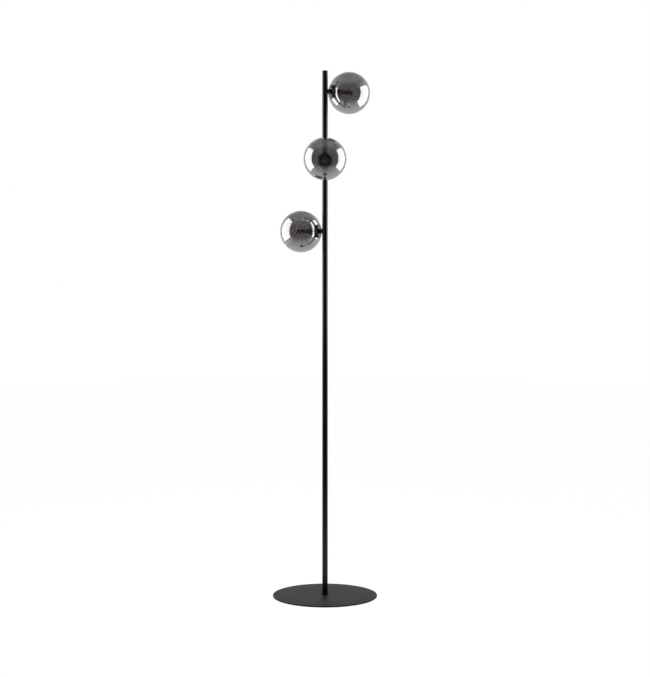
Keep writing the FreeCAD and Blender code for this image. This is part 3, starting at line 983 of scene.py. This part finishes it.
# ---------------------------------------------------------------------------- bulbs
def capsule(back, front, radius, wall):
    """Outline of a bulb's clear cover: a thin tube with a half-round end."""
    dome, inner = front - radius, radius - wall
    outside = arc((dome, 0), radius, 90, 0, 24)
    outside[-1] = (front, 0)
    inside = [(front - wall, 0)] + arc((dome, 0), inner, 0, 90, 24)[1:]
    return softened(outside + inside + [(back, inner), (back, radius)], 0.25 * MM)


def pillar(corner, back, front):
    """The six-sided pillar that carries a bulb's chips."""
    middle = Matrix.Translation(((back + front) / 2, 0, 0))
    bm = bmesh.new()
    bmesh.ops.create_cone(
        bm, cap_ends=True, segments=6, radius1=corner, radius2=corner, depth=front - back,
        matrix=middle @ LIE_DOWN @ Matrix.Rotation(math.pi / 6, 4, "Z"),
    )
    bmesh.ops.bevel(bm, geom=bm.edges, offset=0.25 * MM, segments=2, affect="EDGES")
    return finish_mesh(bm)


def pin_loop(base):
    """A loop of round wire from a bulb's base to its tip and back, lying flat in the XY plane."""
    size = sizes()
    half = (size.pin_width - size.pin_wire) / 2
    bend = base - size.pin_length + size.pin_width / 2
    route = [(base, -half)] + arc((bend, 0), half, -90, -270, 16) + [(base, half)]
    return wire([(x, y, 0) for x, y in route], size.pin_wire / 2, 4)


class LAMP_OT_bulbs(bpy.types.Operator):
    """Makes the capsule bulbs: moulded base, wire pins, pillar with lamp chips and clear cover"""
    bl_idname = "lamp.bulbs"
    bl_label = "Bulbs"

    cover_wall = 0.8 * MM
    shoulder = 1.1 * MM  # rounding of the moulded base
    rib_count = 30
    rib_height, rib_width = 0.25 * MM, 0.7 * MM
    rib_share = 0.55  # of the base's length
    chip_sunk = 0.05 * MM  # how far a chip goes into the pillar

    def execute(self, context):
        size = sizes()
        base_back, base_front, base_radius = span("bulb_base")
        core_back, core_front, _ = span("bulb_core")
        corner = half_width("bulb_core_middle")
        face = corner * math.sqrt(0.75)  # from the middle to a flat of the six-sided pillar
        barrel = base_radius - self.rib_height
        base = softened(
            [(base_back, 0), (base_back, barrel), (base_front, barrel), (base_front, 0)],
            self.shoulder, 6)
        cover = capsule(*span("bulb_cover"), self.cover_wall)
        pitch = (core_front - core_back) / size.chip_rows
        for arm in ARM_NAMES:
            place = arm_place(arm)
            body = f"bulb_{arm}"
            rib = (self.rib_height * 2, self.rib_width, (base_front - base_back) * self.rib_share)
            ribs = grown(TREES["blocks"], {
                "Radius": barrel, "Count": self.rib_count, "Size": rib, "Rows": 1,
                "Row Pitch": 0.0,
            }, "bulb_base")
            ribs.transform(Matrix.Translation(((base_back + base_front) / 2, 0, 0)) @ LIE_DOWN)
            piece(f"ribbed_base_{arm}", joined([turned(base, 120), ribs]), "bulb_base", body,
                  [f"bulb_base_{arm}"], place)
            loops = []
            for side in (-1, 1):
                loop = pin_loop(base_back)
                loop.transform(Matrix.Translation((0, side * size.pin_offset, 0)))
                loops.append(loop)
            piece(f"wire_pins_{arm}", joined(loops), "nickel", body, [f"bulb_pins_{arm}"],
                  place)
            piece(f"lamp_pillar_{arm}", pillar(corner, core_back, core_front), "board", body,
                  [f"bulb_core_{arm}"], place)
            chips = grown(TREES["blocks"], {
                "Radius": face + size.chip_height / 2 - self.chip_sunk, "Count": 6,
                "Size": (size.chip_height, size.chip_width, size.chip_length),
                "Rows": size.chip_rows, "Row Pitch": pitch,
            }, "phosphor")
            chips.transform(Matrix.Translation((core_back + pitch / 2, 0, 0)) @ LIE_DOWN)
            piece(f"lamp_chips_{arm}", joined([chips]), "phosphor", body,
                  place=place)
            piece(f"clear_cover_{arm}", turned(cover), "cover", body, [f"bulb_cover_{arm}"],
                  place)
        return {"FINISHED"}


# ---------------------------------------------------------------------------- the frame's own parts
FITTINGS = {
    "foot_screw": "zinc", "foot_plug": "zinc", "stem_coupler_lower": "zinc",
    "stem_coupler_upper": "zinc", "cable_grommet": "rubber", "stem_cable": "sheath",
    "arm_nipples": "brass", "arm_lock_washers": "zinc", "arm_nuts": "brass",
    "holder_rings": "nickel",
}
FITTINGS_ON_ARMS = {"contacts": "nickel", "leads": "sleeve", "lampholder": "ceramic"}


class LAMP_OT_fittings(bpy.types.Operator):
    """Gives the frame's own small parts their finishes"""
    bl_idname = "lamp.fittings"
    bl_label = "Fittings"

    def execute(self, context):
        finishes = dict(FITTINGS)
        for arm in ARM_NAMES:
            for part, material in FITTINGS_ON_ARMS.items():
                finishes[f"{part}_{arm}"] = material
        for node, material in finishes.items():
            mesh = frame["nodes"][node].data
            mesh.materials.clear()
            mesh.materials.append(MATERIALS[material])
        return {"FINISHED"}


OPERATORS = (
    LAMP_OT_studio, LAMP_OT_base, LAMP_OT_stem, LAMP_OT_arms, LAMP_OT_hubs, LAMP_OT_bulbs,
    LAMP_OT_globes, LAMP_OT_fittings,
)


class LAMP_PT_panel(bpy.types.Panel):
    """Lists the lamp's settings and the steps that make it"""
    bl_label = "Globe Floor Lamp"
    bl_idname = "LAMP_PT_panel"
    bl_space_type = "VIEW_3D"
    bl_region_type = "UI"
    bl_category = "Lamp"

    def draw(self, context):
        for group in (sizes(), colours()):
            box = self.layout.box()
            for name in group.__annotations__:
                box.prop(group, name)
        for operator in OPERATORS:
            self.layout.operator(operator.bl_idname)


CLASSES = (LampSizes, LampColours) + OPERATORS + (LAMP_PT_panel,)


def register():
    for one in CLASSES:
        bpy.utils.register_class(one)
    bpy.types.Scene.lamp_sizes = bpy.props.PointerProperty(type=LampSizes)
    bpy.types.Scene.lamp_colours = bpy.props.PointerProperty(type=LampColours)


def unregister():
    del bpy.types.Scene.lamp_colours
    del bpy.types.Scene.lamp_sizes
    for one in reversed(CLASSES):
        bpy.utils.unregister_class(one)


def main():
    register()
    MATERIALS.update(all_materials())
    TREES.update(thread=thread_tree(), blocks=blocks_tree())
    for operator in OPERATORS:
        group, name = operator.bl_idname.split(".")
        getattr(getattr(bpy.ops, group), name)()


if __name__ == "__main__":
    main()
